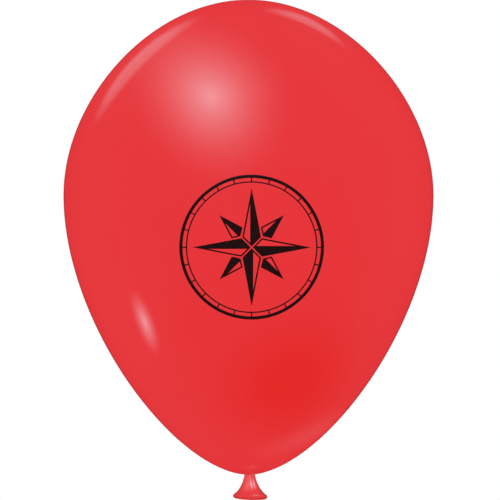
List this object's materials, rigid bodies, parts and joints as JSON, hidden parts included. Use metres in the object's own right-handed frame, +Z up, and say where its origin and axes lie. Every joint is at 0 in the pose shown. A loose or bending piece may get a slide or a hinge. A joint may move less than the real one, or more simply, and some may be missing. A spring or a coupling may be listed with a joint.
{
  "type": "printed latex advertising balloon",
  "caption": "Tied, blown-up latex balloon with a pear-shaped body, a knotted neck, a flared tail with a rolled bead and a black wind rose printed on its front.",
  "frame": {"origin": "centre of the neck at the tie, on the body's axis where the bottom of the body meets the knot", "axes": "+Z up along the body's axis to the crown, -Y out of the printed front, +X to the right of someone who looks at the print"},
  "size_m": [0.3, 0.3005, 0.4069],
  "materials": {
    "red_latex": "satin, smooth stretched film",
    "black_ink": "thin screen-printed ink, slightly less glossy than the film"
  },
  "bodies": {
    "root": {"envelope": "red_latex", "neck_core": "red_latex", "knot": "red_latex", "neck_tail": "red_latex", "lip_bead": "red_latex", "print_dial": "black_ink", "print_long_point_1": "black_ink", "print_long_point_2": "black_ink", "print_long_point_3": "black_ink", "print_long_point_4": "black_ink", "print_short_point_1": "black_ink", "print_short_point_2": "black_ink", "print_short_point_3": "black_ink", "print_short_point_4": "black_ink"}
  },
  "joints": []
}
